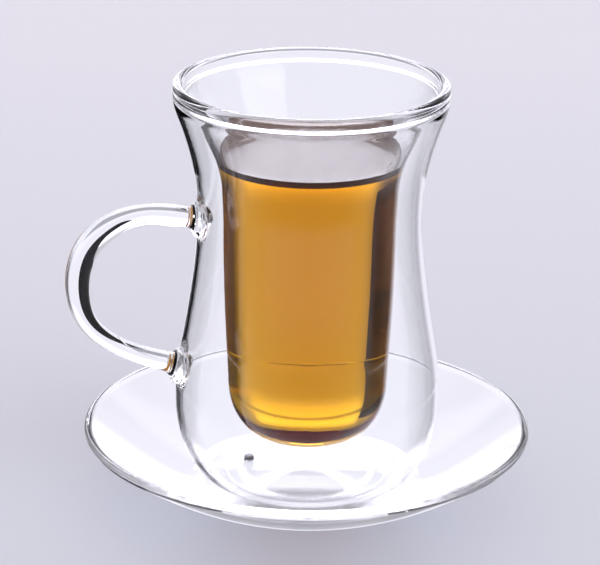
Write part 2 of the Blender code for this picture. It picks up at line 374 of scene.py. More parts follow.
def smooth(points, count):
    """A natural cubic spline through rows of points, as count rows even in chord length."""
    points = np.asarray(points, dtype=float)
    steps = np.linalg.norm(np.diff(points[:, :2], axis=0), axis=1)
    knots = np.concatenate([[0.0], np.cumsum(steps)])
    system = np.eye(len(points))
    slopes = np.zeros_like(points)
    for i in range(1, len(points) - 1):
        before, after = steps[i - 1], steps[i]
        system[i, i - 1:i + 2] = before, 2 * (before + after), after
        slopes[i] = 6 * ((points[i + 1] - points[i]) / after - (points[i] - points[i - 1]) / before)
    bends = np.linalg.solve(system, slopes)
    rows = []
    for place in np.linspace(0.0, knots[-1], count):
        i = min(int(np.searchsorted(knots, place, side="right")) - 1, len(points) - 2)
        far = (place - knots[i]) / steps[i]
        near = 1.0 - far
        bend = (near ** 3 - near) * bends[i] + (far ** 3 - far) * bends[i + 1]
        rows.append(near * points[i] + far * points[i + 1] + bend * steps[i] ** 2 / 6)
    return np.array(rows)


def beside(points, distance):
    """The outline moved sideways, to its left for a positive distance."""
    along = np.gradient(points, axis=0)
    along /= np.linalg.norm(along, axis=1)[:, None]
    return points + distance * np.stack([-along[:, 1], along[:, 0]], axis=1)


def squared_arc(radius, height, side, floor, count):
    """A quarter of a squared ellipse, from its lowest point (0, -height) out to (radius, 0)."""
    turns = np.linspace(0.0, math.pi / 2, count)
    across = radius * np.sin(turns) ** (2 / side)
    down = -height * np.cos(turns) ** (2 / floor)
    return np.stack([across, np.round(down, 9)], axis=1)


def circle_arc(centre, radius, first, last, count):
    """Part of a circle, between two angles in degrees."""
    turns = np.radians(np.linspace(first, last, count))
    return np.stack([centre[0] + radius * np.cos(turns), centre[1] + radius * np.sin(turns)], axis=1)


quarter = squared_arc(1.0, 1.0, 2.0, 2.0, 5)
print("a quarter circle in five points", np.round(quarter, 2).tolist())

# %% [markdown]
# The bell's outline
# ------------------
# The outer face is what the hand holds: a round belly low down, a waist, and a flare up to the
# rim. Under it the base is pushed up a little in the middle, so the cup stands on a ring and not
# on its pontil mark. The belly is a quarter of an ellipse, because it has to stay round where it
# turns under, and the rest is one curve through eight points.

# %% Outline of the bell
PUSH_UP_RADIUS = 18.5 * MM
PUSH_UP_HEIGHT = 1.6 * MM
STANDING_RING = 20.5 * MM
BELLY_RADIUS = 34.25 * MM
BELLY_HEIGHT = 22.0 * MM
BELLY_ROUNDNESS = 2.05
BELL = [(34.10, 28.0), (32.60, 38.0), (30.30, 52.0), (28.70, 68.0), (29.30, 82.0), (31.80, 92.6),
        (33.50, 97.6), (34.75, 101.6)]
PUSH_UP_STEPS, BELLY_STEPS, BELL_STEPS = 18, 34, 76


def bell_outline():
    """Outer face of the cup, from the centre of its base to just under the rim."""
    out = np.linspace(0.0, PUSH_UP_RADIUS, PUSH_UP_STEPS)
    dome = PUSH_UP_HEIGHT * np.cos(0.5 * math.pi * out / PUSH_UP_RADIUS) ** 2
    belly = squared_arc(BELLY_RADIUS - STANDING_RING, BELLY_HEIGHT, BELLY_ROUNDNESS, BELLY_ROUNDNESS,
                        BELLY_STEPS)
    belly += (STANDING_RING, BELLY_HEIGHT)
    bell = smooth(np.vstack([belly[-1], in_metres(BELL), (RIM_RADIUS, RIM_HEIGHT)]), BELL_STEPS)
    return np.vstack([np.stack([out, dome], axis=1), belly, bell[1:]])


bell = bell_outline()
print("bell outline", len(bell), "points, widest", round(bell[:, 0].max() / MM, 2), "mm")

# %% [markdown]
# The bowl's outline
# ------------------
# The bowl that holds the tea is almost a straight tube with a rounded bottom, and it flares only
# at the top. Its bottom corners are tighter than a circle's, so it is a squared ellipse, which
# takes one number for its side and one for its floor.

# %% Outline of the bowl
BOWL_BOTTOM = 12.7 * MM
BOWL_SHOULDER = (19.45 * MM, 28.4 * MM)
BOWL_SIDE_SQUARENESS = 3.85
BOWL_FLOOR_SQUARENESS = 2.27
BOWL_FLARE = [(20.30, 45.0), (20.80, 65.0), (21.15, 77.0), (21.90, 82.6), (23.20, 87.0), (25.15, 91.2),
              (27.40, 95.6), (29.60, 99.8), (31.40, 103.0)]
BOWL_FLOOR_STEPS, BOWL_SIDE_STEPS = 40, 84


def bowl_outline():
    """Inner face of the bowl, from its lowest point up to just under the rim."""
    floor = squared_arc(BOWL_SHOULDER[0], BOWL_SHOULDER[1] - BOWL_BOTTOM, BOWL_SIDE_SQUARENESS,
                        BOWL_FLOOR_SQUARENESS, BOWL_FLOOR_STEPS)
    floor += (0.0, BOWL_SHOULDER[1])
    rim_inside = (RIM_RADIUS - 2 * RIM_TUBE, RIM_HEIGHT)
    side = smooth(np.vstack([floor[-1], in_metres(BOWL_FLARE), rim_inside]), BOWL_SIDE_STEPS)
    return np.vstack([floor, side[1:]])


bowl = bowl_outline()
print("bowl outline", len(bowl), "points, floor at", round(bowl[0, 1] / MM, 2), "mm")

# %% [markdown]
# The air between the walls
# -------------------------
# Between bell and bowl there is only air. Its outline is the two faces moved into the glass, each
# by its wall's thickness, and joined under the rim. The walls draw thinner towards the rim, as
# blown glass does. The round tip matters more than it seems: how high it reaches decides how wide
# and how bright the rim's white band looks.

# %% Outline of the air between the walls
OUTER_WALL = 1.1 * MM
INNER_WALL = 1.2 * MM
RIM_WALL = 0.7 * MM
BASE_GLASS = 1.3 * MM
THINS_FROM = 84.0 * MM
HOLLOW_TOP = 103.7 * MM
HOLLOW_TIP = 0.55 * MM
TIP_STEPS = 15


def wall_at(heights, wall):
    """The wall's thickness, which draws thinner from the flare up to the rim."""
    return np.interp(heights, [THINS_FROM, HOLLOW_TOP], [wall, RIM_WALL])[:, None]


def hollow_outline():
    """Both walls moved into the glass, meeting in a rounded tip under the rim."""
    outer = beside(bell, wall_at(bell[:, 1], OUTER_WALL))
    push_up = bell[:, 0] <= PUSH_UP_RADIUS
    outer[push_up] = bell[push_up] + (0.0, BASE_GLASS)
    outer = outer[outer[:, 1] < HOLLOW_TOP]
    inner = beside(bowl, -wall_at(bowl[:, 1], INNER_WALL))
    inner = inner[inner[:, 1] < HOLLOW_TOP]
    inner[0, 0] = 0.0
    tip = (outer[-1] + inner[-1]) / 2 + (0.0, HOLLOW_TIP)
    bend = smooth(np.vstack([outer[-2], outer[-1], tip, inner[-1], inner[-2]]), TIP_STEPS)
    return np.vstack([outer[:-2], bend, inner[::-1][2:]])


hollow = hollow_outline()
print("hollow outline", len(hollow), "points, tip at", round(hollow[:, 1].max() / MM, 2), "mm")

# %% [markdown]
# A lathe in Geometry Nodes
# -------------------------
# Every turned piece follows one rule, so one Geometry Nodes tree makes them all. The Screw
# modifier could turn an outline too, but a tree takes its finish and its fineness as inputs and
# closes its own seam. It takes an outline as a chain of points and lays out a grid, one column
# for each outline point and one row for each step round the axis. Each grid point is then moved
# to its place on the turned form. Merging points that coincide closes the seam and the poles.

# %% Lathe tree
def build_lathe():
    """Turns a chain of points round the axis into a closed piece."""
    tree = bpy.data.node_groups.new("lathe", "GeometryNodeTree")
    takes = sockets(tree, [("Outline", "Geometry", None), ("Segments", "Int", 96),
                           ("Join Distance", "Float", 1e-6), ("Finish", "Material", None)],
                    [("Piece", "Geometry")])
    outline = takes["Outline"]
    count = node(tree, "GeometryNodeAttributeDomainSize", {0: outline}).outputs["Point Count"]
    rows = whole(tree, "ADD", takes["Segments"], 1)
    grid = node(tree, "GeometryNodeMeshGrid", {"Vertices X": count, "Vertices Y": rows}).outputs["Mesh"]
    index = node(tree, "GeometryNodeInputIndex").outputs[0]
    place = node(tree, "GeometryNodeInputPosition").outputs[0]
    column = whole(tree, "DIVIDE_FLOOR", index, rows)
    sample = node(tree, "GeometryNodeSampleIndex", {"Geometry": outline, "Value": place, "Index": column},
                  data_type="FLOAT_VECTOR", domain="POINT").outputs[0]
    point = node(tree, "ShaderNodeSeparateXYZ", {0: sample}).outputs
    share = sum_of(tree, "DIVIDE", whole(tree, "MODULO", index, rows), takes["Segments"])
    turn = sum_of(tree, "MULTIPLY", share, 2 * math.pi)
    across = sum_of(tree, "MULTIPLY", point["X"], sum_of(tree, "COSINE", turn))
    along = sum_of(tree, "MULTIPLY", point["X"], sum_of(tree, "SINE", turn))
    moved = node(tree, "ShaderNodeCombineXYZ", {"X": across, "Y": along, "Z": point["Z"]}).outputs[0]
    turned = node(tree, "GeometryNodeSetPosition", {"Geometry": grid, "Position": moved}).outputs[0]
    joined = node(tree, "GeometryNodeMergeByDistance",
                  {"Geometry": turned, "Distance": takes["Join Distance"]}).outputs[0]
    round_ = node(tree, "GeometryNodeSetShadeSmooth", {"Geometry": joined}).outputs[0]
    real = node(tree, "GeometryNodeRealizeInstances", {"Geometry": round_}).outputs[0]
    done = node(tree, "GeometryNodeSetMaterial", {"Geometry": real, "Material": takes["Finish"]}).outputs[0]
    node(tree, "NodeGroupOutput", {"Piece": done})
    return tree


lathe = build_lathe()
print("lathe tree with", len(lathe.nodes), "nodes")

# %% [markdown]
# From a tree to a plain piece
# ----------------------------
# A piece could keep its modifier, but the Boolean steps and the export want plain meshes. So the
# tree is run on a helper object, whose inputs are set by each socket's identifier before it is
# first looked at. The result is copied to a plain mesh, the helper object goes, and the faces are
# turned outwards where the rule left them inside out. A last helper measures what was made.

# %% Running a tree
CM3_IN_M3 = 1e6


def grown(name, tree, start, finish, **sizes):
    """Runs a Geometry Nodes tree on a starting mesh and returns its result as a plain object."""
    values = {**sizes, "finish": finish}
    source = bpy.data.objects.new(name + "_start", start)
    bpy.context.scene.collection.objects.link(source)
    rule = source.modifiers.new("rule", "NODES")
    rule.node_group = tree
    for item in tree.interface.items_tree:
        key = item.name.lower().replace(" ", "_")
        if item.in_out == "INPUT" and key in values:
            rule[item.identifier] = values.pop(key)
    assert not values, f"{tree.name} has no input for {sorted(values)}"
    view = bpy.context.evaluated_depsgraph_get()
    mesh = bpy.data.meshes.new_from_object(source.evaluated_get(view), depsgraph=view)
    mesh.name = name
    mesh.materials.clear()
    mesh.materials.append(finish)
    bpy.data.objects.remove(source)
    made = bpy.data.objects.new(name, mesh)
    bpy.context.scene.collection.objects.link(made)
    return face_outward(made)


def face_outward(piece, inward=False):
    """Turns all faces over if the closed shape's volume has the wrong sign."""
    shape = bmesh.new()
    shape.from_mesh(piece.data)
    if (shape.calc_volume(signed=True) < 0) != inward:
        bmesh.ops.reverse_faces(shape, faces=shape.faces)
        shape.to_mesh(piece.data)
    shape.free()
    return piece


def chain(name, points, height=0.0):
    """A mesh of points joined in a line, drawn in the XZ plane."""
    mesh = bpy.data.meshes.new(name)
    spots = [(r, 0.0, z + height) for r, z in points]
    mesh.from_pydata(spots, [(i, i + 1) for i in range(len(spots) - 1)], [])
    return mesh


def measure(piece):
    """Prints a piece's size, and how many of its edges are open or shared by more than two faces."""
    shape = bmesh.new()
    shape.from_mesh(piece.data)
    loose = sum(1 for edge in shape.edges if len(edge.link_faces) != 2)
    volume = shape.calc_volume(signed=True) * CM3_IN_M3
    faces = sum(len(face.verts) - 2 for face in shape.faces)
    shape.free()
    corners = np.array([v.co for v in piece.data.vertices])
    size = np.round((corners.max(0) - corners.min(0)) / MM, 2)
    print(f"{piece.name}: {faces} triangles, {size} mm, {volume:.2f} cm3, {loose} open edges")


# %% [markdown]
# The handle rod
# --------------
# The handle is a solid glass rod, bent hot into an ear and pressed onto the bell at both ends.
# Where it was pressed on, the soft glass bulged and wrinkled. So the rod is a path with a radius
# at each point, thickest at the welds, and a share called melt that is one at the welds. A
# second Geometry Nodes tree sweeps a circle along the path and stirs the surface where it melted.

# %% Handle path
# distance from the axis, height and radius in millimetres
HANDLE = [(26.3, 71.9, 3.0), (27.4, 72.1, 4.6), (29.4, 72.4, 4.7), (30.4, 72.6, 3.2), (32.4, 72.9, 2.6),
          (41.6, 74.0, 2.6), (50.9, 71.4, 3.2), (57.4, 65.1, 3.3), (59.6, 56.5, 3.1), (57.0, 45.9, 2.5),
          (50.3, 39.6, 2.3), (42.2, 35.8, 2.45), (37.4, 34.2, 2.6), (35.6, 33.6, 3.2), (34.2, 33.2, 4.7),
          (32.2, 32.5, 4.6), (31.1, 32.2, 3.0)]
HANDLE_ROWS = 260
MELT_REACH = 7.5 * MM
THINNEST = 0.02 * MM
MELT_FALL = 0.7
CAP_STEPS = 8
CAP_DOME = 0.25


def handle_path():
    """Rows of distance from the axis, height, radius and melt, with domed ends."""
    rows = smooth(in_metres(HANDLE), HANDLE_ROWS)
    steps = np.linalg.norm(np.diff(rows[:, :2], axis=0), axis=1)
    gone = np.concatenate([[0.0], np.cumsum(steps)])
    near = np.minimum(gone, gone[-1] - gone)
    melt = np.clip(1.0 - near / MELT_REACH, 0.0, 1.0) ** MELT_FALL
    rows = np.column_stack([rows, melt])
    ends = []
    for row, inner in ((rows[0], rows[1]), (rows[-1], rows[-2])):
        back = (row[:2] - inner[:2]) / np.linalg.norm(row[:2] - inner[:2])
        cap = []
        for a in np.linspace(0.0, math.pi / 2, CAP_STEPS)[1:]:
            spot = row[:2] + back * CAP_DOME * row[2] * math.sin(a)
            cap.append([*spot, max(row[2] * math.cos(a), THINNEST), 1.0])
        ends.append(cap)
    return np.array(ends[0][::-1] + rows.tolist() + ends[1])


def path_mesh(rows):
    """The path as a chain of points that carry their radius and melt as attributes."""
    mesh = bpy.data.meshes.new("handle_path")
    spots = [(-row[0], 0.0, row[1] + STANDS_AT) for row in rows]
    mesh.from_pydata(spots, [(i, i + 1) for i in range(len(spots) - 1)], [])
    for name, column in (("rod_radius", 2), ("melt", 3)):
        mesh.attributes.new(name, "FLOAT", "POINT").data.foreach_set("value", rows[:, column])
    return mesh


handle_rows = handle_path()
thickest = 2 * handle_rows[:, 2].max() / MM
print("handle path", len(handle_rows), "rows, rod", round(thickest, 1), "mm at its thickest")

# %% [markdown]
# Sweeping the rod
# ----------------
# A bevelled curve would give a plain rod. Curve to Mesh in a Geometry Nodes tree does the same
# and can also read the radius from each point, and after it Set Position pushes the surface in
# and out by a noise, only where melt is above zero. The seed is fixed, so the lumps stay put.

# %% Rod tree
HANDLE_SIDES = 48
LUMP_DEPTH = 0.75 * MM
LUMP_SCALE = 230.0
LUMP_SEED = 5.0
# the noise strays about a quarter from its middle, and this makes that about one
NOISE_SWING = 4.0


def build_rod():
    """Sweeps a circle along a path and stirs the surface where the path carries melt."""
    tree = bpy.data.node_groups.new("bent_rod", "GeometryNodeTree")
    takes = sockets(tree, [("Path", "Geometry", None), ("Sides", "Int", 48), ("Lump Depth", "Float", 0.0004),
                           ("Lump Scale", "Float", 260.0), ("Seed", "Float", 3.0),
                           ("Finish", "Material", None)], [("Piece", "Geometry")])
    radius, melt = [node(tree, "GeometryNodeInputNamedAttribute", {"Name": name},
                         data_type="FLOAT").outputs[0] for name in ("rod_radius", "melt")]
    curve = node(tree, "GeometryNodeMeshToCurve", {0: takes["Path"]}).outputs[0]
    ring = node(tree, "GeometryNodeCurvePrimitiveCircle", {"Resolution": takes["Sides"], "Radius": 1.0})
    swept = node(tree, "GeometryNodeCurveToMesh", {"Curve": curve, "Profile Curve": ring.outputs[0],
                                                   "Scale": radius, "Fill Caps": True}).outputs[0]
    place = node(tree, "GeometryNodeInputPosition").outputs[0]
    noise = node(tree, "ShaderNodeTexNoise", {"Vector": place, "W": takes["Seed"], "Detail": 2.5,
                                              "Scale": takes["Lump Scale"]}, noise_dimensions="4D")
    swing = sum_of(tree, "MULTIPLY", sum_of(tree, "SUBTRACT", noise.outputs["Fac"], 0.5), NOISE_SWING)
    depth = sum_of(tree, "MULTIPLY", sum_of(tree, "MULTIPLY", swing, melt), takes["Lump Depth"])
    normal = node(tree, "GeometryNodeInputNormal").outputs[0]
    shift = node(tree, "ShaderNodeVectorMath", {0: normal, "Scale": depth}, operation="SCALE").outputs[0]
    stirred = node(tree, "GeometryNodeSetPosition", {"Geometry": swept, "Offset": shift}).outputs[0]
    round_ = node(tree, "GeometryNodeSetShadeSmooth", {"Geometry": stirred}).outputs[0]
    real = node(tree, "GeometryNodeRealizeInstances", {"Geometry": round_}).outputs[0]
    done = node(tree, "GeometryNodeSetMaterial", {"Geometry": real, "Material": takes["Finish"]}).outputs[0]
    node(tree, "NodeGroupOutput", {"Piece": done})
    return tree


bent_rod = build_rod()
handle = grown("handle_rod", bent_rod, path_mesh(handle_rows), clear_glass, sides=HANDLE_SIDES,
               lump_depth=LUMP_DEPTH, lump_scale=LUMP_SCALE, seed=LUMP_SEED)
measure(handle)

# %% [markdown]
# The cup
# -------
# The skin of the cup runs up the bell, round the rim and down into the bowl, all as one turned
# form. The air between the walls is a second turned form with its faces turned inwards, which
# leaves a cavity in the glass. A Solidify modifier would be quicker, but it knows one thickness
# only, and these two walls stand far apart and meet just in the base and under the rim.

# %% Skin and cavity
CUP_SEGMENTS = 128
RIM_STEPS = 25


def cup_outline():
    """Up the bell, round the rim and down into the bowl."""
    rim = circle_arc((RIM_RADIUS - RIM_TUBE, RIM_HEIGHT), RIM_TUBE, 0.0, 180.0, RIM_STEPS)
    return np.vstack([bell, rim[1:-1], bowl[::-1]])


skin = grown("glass_cup", lathe, chain("cup_outline", cup_outline(), STANDS_AT), clear_glass,
             segments=CUP_SEGMENTS)
cavity = grown("cavity", lathe, chain("hollow_outline", hollow, STANDS_AT), clear_glass,
               segments=CUP_SEGMENTS)
measure(skin)
measure(cavity)

# %% [markdown]
# Boring the vent and fusing the handle
# -------------------------------------
# The vent is a short bore through the glass of the base, and it opens into the hollow. The
# handle's ends sink into the bell's wall. Both could be modelled into the rings of faces by hand,
# but a Boolean finds the line where two forms meet by itself. The exact solver is slower than the
# fast one and copes better with a wall as thin as this.

# %% Vent and weld
VENT_RADIUS = 1.4 * MM
VENT_FROM_AXIS = 16.2 * MM
VENT_ANGLE = math.radians(148.0)
VENT_LOW, VENT_HIGH = -1.0 * MM, 2.2 * MM
VENT_SEGMENTS = 32
vent_at = Vector((VENT_FROM_AXIS * math.cos(VENT_ANGLE), VENT_FROM_AXIS * math.sin(VENT_ANGLE), 0.0))


def join_shells(outside, inside):
    """Adds the inside shell to the outside one with its faces turned inwards."""
    face_outward(inside, inward=True)
    shape = bmesh.new()
    shape.from_mesh(outside.data)
    shape.from_mesh(inside.data)
    shape.to_mesh(outside.data)
    shape.free()
    bpy.data.objects.remove(inside)
    outside.data.shade_smooth()
    return outside


def boolean(piece, other, operation):
    """Applies one exact Boolean and removes the other object."""
    step = piece.modifiers.new(operation.lower(), "BOOLEAN")
    step.operation = operation
    step.solver = "EXACT"
    step.object = other
    view = bpy.context.evaluated_depsgraph_get()
    mesh = bpy.data.meshes.new_from_object(piece.evaluated_get(view), depsgraph=view)
    piece.modifiers.clear()
    piece.data = mesh
    bpy.data.objects.remove(other)
    return piece


vent_outline = [(0.0, VENT_LOW), (VENT_RADIUS, VENT_LOW), (VENT_RADIUS, VENT_HIGH), (0.0, VENT_HIGH)]
vent = grown("vent", lathe, chain("vent_outline", vent_outline, STANDS_AT), clear_glass,
             segments=VENT_SEGMENTS)
vent.data.transform(Matrix.Translation(vent_at))
cup = join_shells(skin, cavity)
boolean(cup, vent, "DIFFERENCE")
boolean(cup, handle, "UNION")
measure(cup)

# %% [markdown]
# Melting the welds
# -----------------
# A Boolean leaves a knife-sharp seam where rod meets bell. In the flame such a seam flows
# round. A bevel would need an even line of edges, which a Boolean doesn't leave. Moving each
# point near the two welds halfway to the middle of its neighbours, a few times over, also makes
# the seam flow.

# %% Relaxing the seams
# distance from the axis, height and reach in millimetres
WELDS = [(29.0, 72.3, 6.5), (34.0, 33.2, 6.5)]
RELAX_PASSES = 7
CUP_SHARP_FROM = math.radians(55.0)


def relax_welds(piece):
    """Smooths the points near each weld and leaves all others where they are."""
    shape = bmesh.new()
    shape.from_mesh(piece.data)
    bmesh.ops.triangulate(shape, faces=[face for face in shape.faces if len(face.verts) > 4])
    for distance, height, reach in WELDS:
        middle = Vector((-distance * MM, 0.0, height * MM + STANDS_AT))
        near = [v for v in shape.verts if (v.co - middle).length < reach * MM]
        for _ in range(RELAX_PASSES):
            bmesh.ops.smooth_vert(shape, verts=near, factor=0.5, use_axis_x=True, use_axis_y=True,
                                  use_axis_z=True)
    shape.to_mesh(piece.data)
    shape.free()
    piece.data.shade_smooth()
    piece.data.set_sharp_from_angle(angle=CUP_SHARP_FROM)


relax_welds(cup)
cup.name = "glass_cup"
cup.data.materials.clear()
cup.data.materials.append(clear_glass)
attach(cup, "root")
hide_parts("cup")
measure(cup)

# %% [markdown]
# The saucer
# ----------
# The saucer is a pressed dish of clear glass: a flat foot, a flat well, and a side that steepens
# towards a rounded rim. It is one outline on the same lathe. It gets more steps round the axis
# than the cup, because it is wider, and any flat in its rim would show as a kink in the light.

# %% Saucer
SAUCER_FOOT = 28.6 * MM
SAUCER_WELL = 29.5 * MM
SAUCER_BASE = 3.0 * MM
SAUCER_DISH = 2.3 * MM
SAUCER_CURVE = [(0.245, 0.19), (0.635, 0.565)]
FOOT_EASING = (1.0 * MM, 0.12 * MM)
SAUCER_RIM_TURN = (-55.0, 125.0)
SAUCER_RIM_STEPS, DISH_STEPS = 22, 48
SAUCER_SEGMENTS = 192
SAUCER_SHARP_FROM = math.radians(35.0)


def saucer_outline():
    """Out along the foot, up the underside, round the rim and down the dish to the well."""
    rim = circle_arc((SAUCER_RADIUS - SAUCER_TUBE, SAUCER_RIM_HEIGHT), SAUCER_TUBE,
                     *SAUCER_RIM_TURN, SAUCER_RIM_STEPS)
    corner = np.array((SAUCER_WELL, SAUCER_BASE))
    span = rim[-1] - corner
    dish = smooth([corner, *[corner + span * share for share in SAUCER_CURVE], rim[-1]], DISH_STEPS)
    under = beside(dish, -SAUCER_DISH)[1:-1]
    flat, lift = FOOT_EASING
    foot = [(0.0, 0.0), (SAUCER_FOOT - flat, 0.0), (SAUCER_FOOT, lift)]
    return np.vstack([foot, under, rim, dish[-2::-1], (0.0, SAUCER_BASE)])


saucer = grown("glass_saucer", lathe, chain("saucer_outline", saucer_outline()), clear_glass,
               segments=SAUCER_SEGMENTS)
saucer.data.set_sharp_from_angle(angle=SAUCER_SHARP_FROM)
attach(saucer, "root")
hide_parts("saucer")
measure(saucer)

# %% [markdown]
# The tea in the bowl
# -------------------
# Tea wets the glass, so there is no air between them. A gap, even a thin one, would mirror like
# silver. So the tea's side reaches a hair into the bowl's wall, and a ray then bends once, as at
# a real wet wall. At the top the tea climbs the glass in a narrow curved lip, the meniscus, which
# shows as a dark line all the way round. The faces that look up get the second material.

# %% Tea
TEA_LEVEL = 85.6 * MM
INTO_WALL = 0.06 * MM
LIP_RISE = 2.5 * MM
LIP_REACH = 1.4 * MM
LIP_WIDTH, LIP_STEPS = 4.5 * MM, 22
FLAT_STEPS = 12
SIDE_STOPS = 0.05 * MM
AXIS_GAP = 1.0 * MM
TOP_BAND, TOP_LOOKS_UP = 0.2 * MM, 0.3
TEA_SHARP_FROM = math.radians(50.0)


def tea_outline():
    """Up the bowl's face, over the lip and flat to the axis, with most steps in the lip."""
    side = beside(bowl, -INTO_WALL)
    side[0, 0] = 0.0
    lip_top = TEA_LEVEL + LIP_RISE
    under = side[side[:, 1] < lip_top - SIDE_STOPS]
    edge = np.interp(lip_top, side[:, 1], side[:, 0])
    lip = np.linspace(0.0, LIP_WIDTH, LIP_STEPS)
    flat = np.linspace(LIP_WIDTH, edge - AXIS_GAP, FLAT_STEPS)
    away = np.concatenate([lip[:-1], flat])
    climb = LIP_RISE * np.exp(-away / LIP_REACH)
    top = np.stack([edge - away, TEA_LEVEL + climb], axis=1)
    return np.vstack([under, top, (0.0, TEA_LEVEL)])


tea = grown("poured_tea", lathe, chain("tea_outline", tea_outline(), STANDS_AT), black_tea,
            segments=CUP_SEGMENTS)
tea.data.materials.append(tea_top)
for face in tea.data.polygons:
    if face.normal.z > TOP_LOOKS_UP and face.center.z > STANDS_AT + TEA_LEVEL - TOP_BAND:
        face.material_index = 1
tea.data.set_sharp_from_angle(angle=TEA_SHARP_FROM)
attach(tea, "root")
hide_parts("tea")
measure(tea)

# %% [markdown]
# Bubbles
# -------
# Pouring leaves a few tiny bubbles, which the meniscus gathers at the glass. They repeat, so
# Geometry Nodes sets one small ball on each point of a short arc, with a random size and place.
# Each arc has its own seed. A bubble is air behind a thin film, so its glass-like material bends
# light much less than water does.

# %% Bubble tree
BUBBLE_SIZES = (0.45, 1.0)
BUBBLE_DETAIL = 3


def build_bubbles():
    """One ball on each point of an arc, shifted and scaled at random."""
    tree = bpy.data.node_groups.new("bubbles", "GeometryNodeTree")
    takes = sockets(tree, [("Arc", "Geometry", None), ("Radius", "Float", 0.0004), ("Spread", "Float", 0.001),
                           ("Seed", "Int", 1), ("Finish", "Material", None)], [("Piece", "Geometry")])
    ball = node(tree, "GeometryNodeMeshIcoSphere",
                {"Radius": takes["Radius"], "Subdivisions": BUBBLE_DETAIL}).outputs[0]
    size = node(tree, "FunctionNodeRandomValue",
                {2: BUBBLE_SIZES[0], 3: BUBBLE_SIZES[1], "Seed": takes["Seed"]}, data_type="FLOAT")
    shift = node(tree, "FunctionNodeRandomValue",
                 {0: (-1.0, -1.0, 0.0), 1: (1.0, 1.0, 0.0), "Seed": takes["Seed"]},
                 data_type="FLOAT_VECTOR").outputs[0]
    moved = node(tree, "ShaderNodeVectorMath", {0: shift, "Scale": takes["Spread"]},
                 operation="SCALE").outputs[0]
    spots = node(tree, "GeometryNodeSetPosition", {"Geometry": takes["Arc"], "Offset": moved}).outputs[0]
    set_out = node(tree, "GeometryNodeInstanceOnPoints", {"Points": spots, "Instance": ball,
                                                          "Scale": size.outputs[1]}).outputs[0]
    real = node(tree, "GeometryNodeRealizeInstances", {"Geometry": set_out}).outputs[0]
    round_ = node(tree, "GeometryNodeSetShadeSmooth", {"Geometry": real}).outputs[0]
    done = node(tree, "GeometryNodeSetMaterial", {"Geometry": round_, "Material": takes["Finish"]}).outputs[0]
    node(tree, "NodeGroupOutput", {"Piece": done})
    return tree


bubble_tree = build_bubbles()
print("bubble tree with", len(bubble_tree.nodes), "nodes")

# %% Bubbles on the tea
# first and last angle in degrees, how many, and the seed
BUBBLE_ARCS = [(-104.0, -92.0, 6, 1), (-76.0, -68.0, 4, 2), (-30.0, -24.0, 3, 4)]
BUBBLE_RADIUS = 0.42 * MM
BUBBLE_SPREAD = 0.9 * MM
BUBBLE_FROM_WALL = 2.2 * MM
BUBBLE_LIFT = 0.55 * MM
FILM_INDEX = 1.22
FILM_TINT = ((0.99, 0.97, 0.93, 1.0), (0.97, 0.94, 0.88, 1.0))
FILM_WAVES = 0.005 * MM


def bubble_arc(first, last, count):
    """Points in an arc on the tea, a little in from the bowl's face."""
    radius = np.interp(TEA_LEVEL, bowl[:, 1], bowl[:, 0]) - BUBBLE_FROM_WALL
    height = STANDS_AT + TEA_LEVEL + BUBBLE_LIFT
    turns = np.radians(np.linspace(first, last, count))
    mesh = bpy.data.meshes.new("bubble_arc")
    mesh.from_pydata([(radius * math.cos(a), radius * math.sin(a), height) for a in turns], [], [])
    return mesh


bubble_film = glass_material("bubble_film", FILM_TINT, TEA_SHADE, FILM_INDEX,
                             {"Wave Scale": 500.0, "Drawn Out": 1.0, "Smudge Roughness": 0.0},
                             FILM_WAVES)[0]
for first, last, count, seed in BUBBLE_ARCS:
    bubbles = grown(f"tea_bubbles_{seed}", bubble_tree, bubble_arc(first, last, count), bubble_film,
                    radius=BUBBLE_RADIUS, spread=BUBBLE_SPREAD, seed=seed)
    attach(bubbles, "root")
    measure(bubbles)

# %% [markdown]
# The vent plug
# -------------
# A small button of grey rubber with a softly rounded edge sits in the vent. A cylinder with a
# bevel would do as well, but the lathe is there already, and its height comes from the frame.

# %% Plug
PLUG_PLAY = 0.15 * MM
PLUG_RADIUS = VENT_RADIUS - PLUG_PLAY
PLUG_EDGE = 0.35 * MM
PLUG_EDGE_STEPS = 6


def plug_outline():
    """A button's half outline, with both edges rounded."""
    low, high = plug_low.z, plug_high.z
    lower = circle_arc((PLUG_RADIUS - PLUG_EDGE, low + PLUG_EDGE), PLUG_EDGE, -90.0, 0.0, PLUG_EDGE_STEPS)
    upper = circle_arc((PLUG_RADIUS - PLUG_EDGE, high - PLUG_EDGE), PLUG_EDGE, 0.0, 90.0, PLUG_EDGE_STEPS)
    return np.vstack([(0.0, low), lower, upper, (0.0, high)])


plug = grown("vent_plug_button", lathe, chain("plug_outline", plug_outline()), vent_rubber,
             segments=VENT_SEGMENTS)
plug.data.transform(Matrix.Translation(vent_at))
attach(plug, "root")
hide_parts("vent_plug")
measure(plug)

# %% [markdown]
# The floor
# ---------
# Seen straight on, floor and backdrop are plain and pale. A curved backdrop would need tuning of
# its own, so a flat, matte plane stands here, with a faint glow that grows with the distance and
# lets it run into the background without an edge. It lies a hair under the saucer, so the two
# never share a face. Bent and mirrored rays don't see it: the room's lower half stands for it
# there, which can be made lighter or darker without changing the picture's floor.

# %% Floor
FLOOR_DROP = 0.2 * MM
FLOOR_HALF = 3.0
FLOOR_COLOUR = (0.336, 0.334, 0.348, 1.0)
FLOOR_GLOW = ((0.010, 0.024, 0.028, 1.0), (0.165, 0.150, 0.150, 1.0))
GLOW_GROWS = (-0.25, 0.45)


